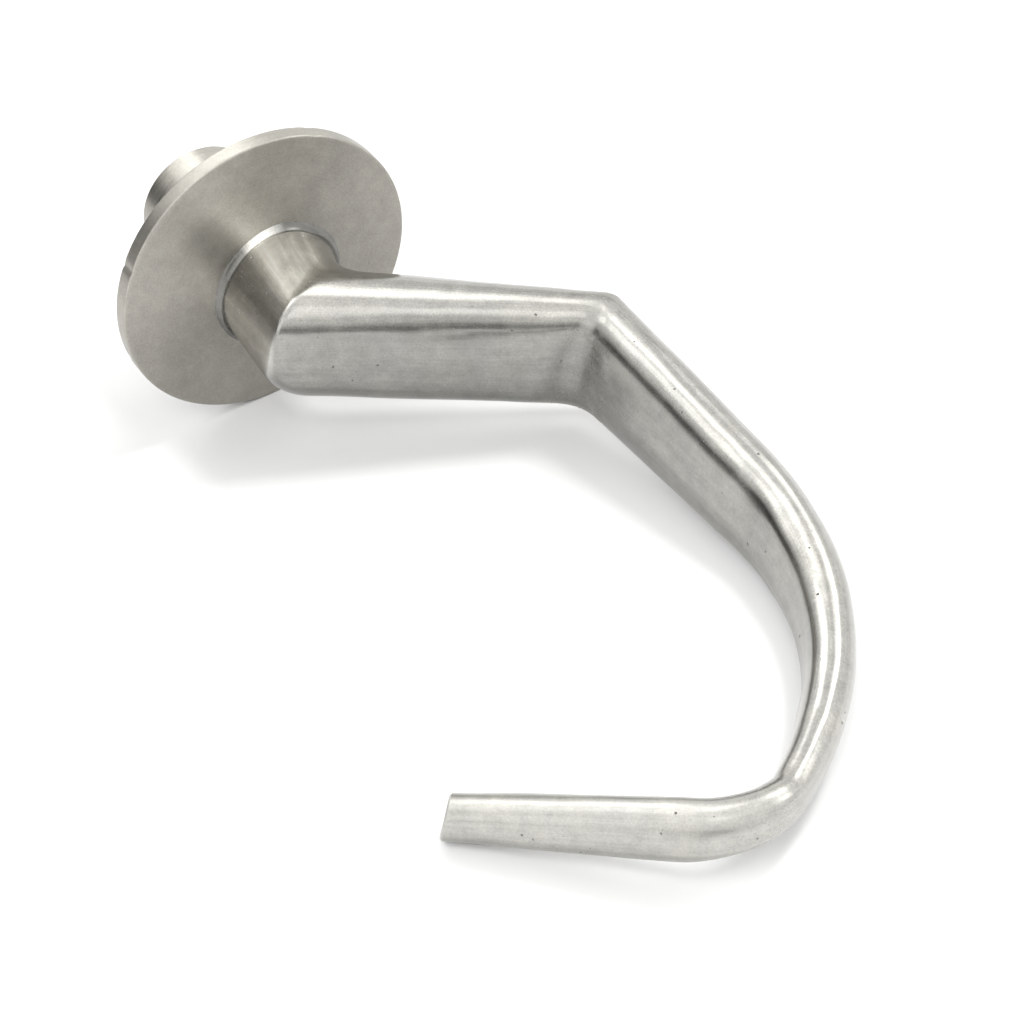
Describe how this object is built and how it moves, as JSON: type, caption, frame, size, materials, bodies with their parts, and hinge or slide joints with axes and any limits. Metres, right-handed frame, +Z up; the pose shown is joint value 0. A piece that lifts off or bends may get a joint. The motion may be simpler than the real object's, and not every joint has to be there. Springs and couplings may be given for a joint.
{
  "type": "planetary mixer dough hook",
  "caption": "Stainless steel dough hook for a planetary mixer: turned hub with a bayonet socket, guard disc, and a cranked arm that tapers into a curved hook with a turned-back foot.",
  "frame": {"origin": "middle of the bottom of the whole object's box, on the surface that the hook lies on", "axes": "+X along the hub's axis seen from above, from the hub towards the heel; +Y to the side the arm reaches out to; +Z up from the surface"},
  "size_m": [0.3102, 0.148, 0.0994],
  "materials": {
    "ground_steel": "hand-ground satin stainless steel",
    "turned_disc": "turned stainless steel with fine rings",
    "turned_hub": "turned stainless steel",
    "weld_bead": "dressed weld bead"
  },
  "bodies": {
    "root": {"hook": "ground_steel", "guard_disc": "turned_disc", "drive_hub": "turned_hub", "front_weld": "weld_bead", "rear_weld": "weld_bead"}
  },
  "joints": []
}
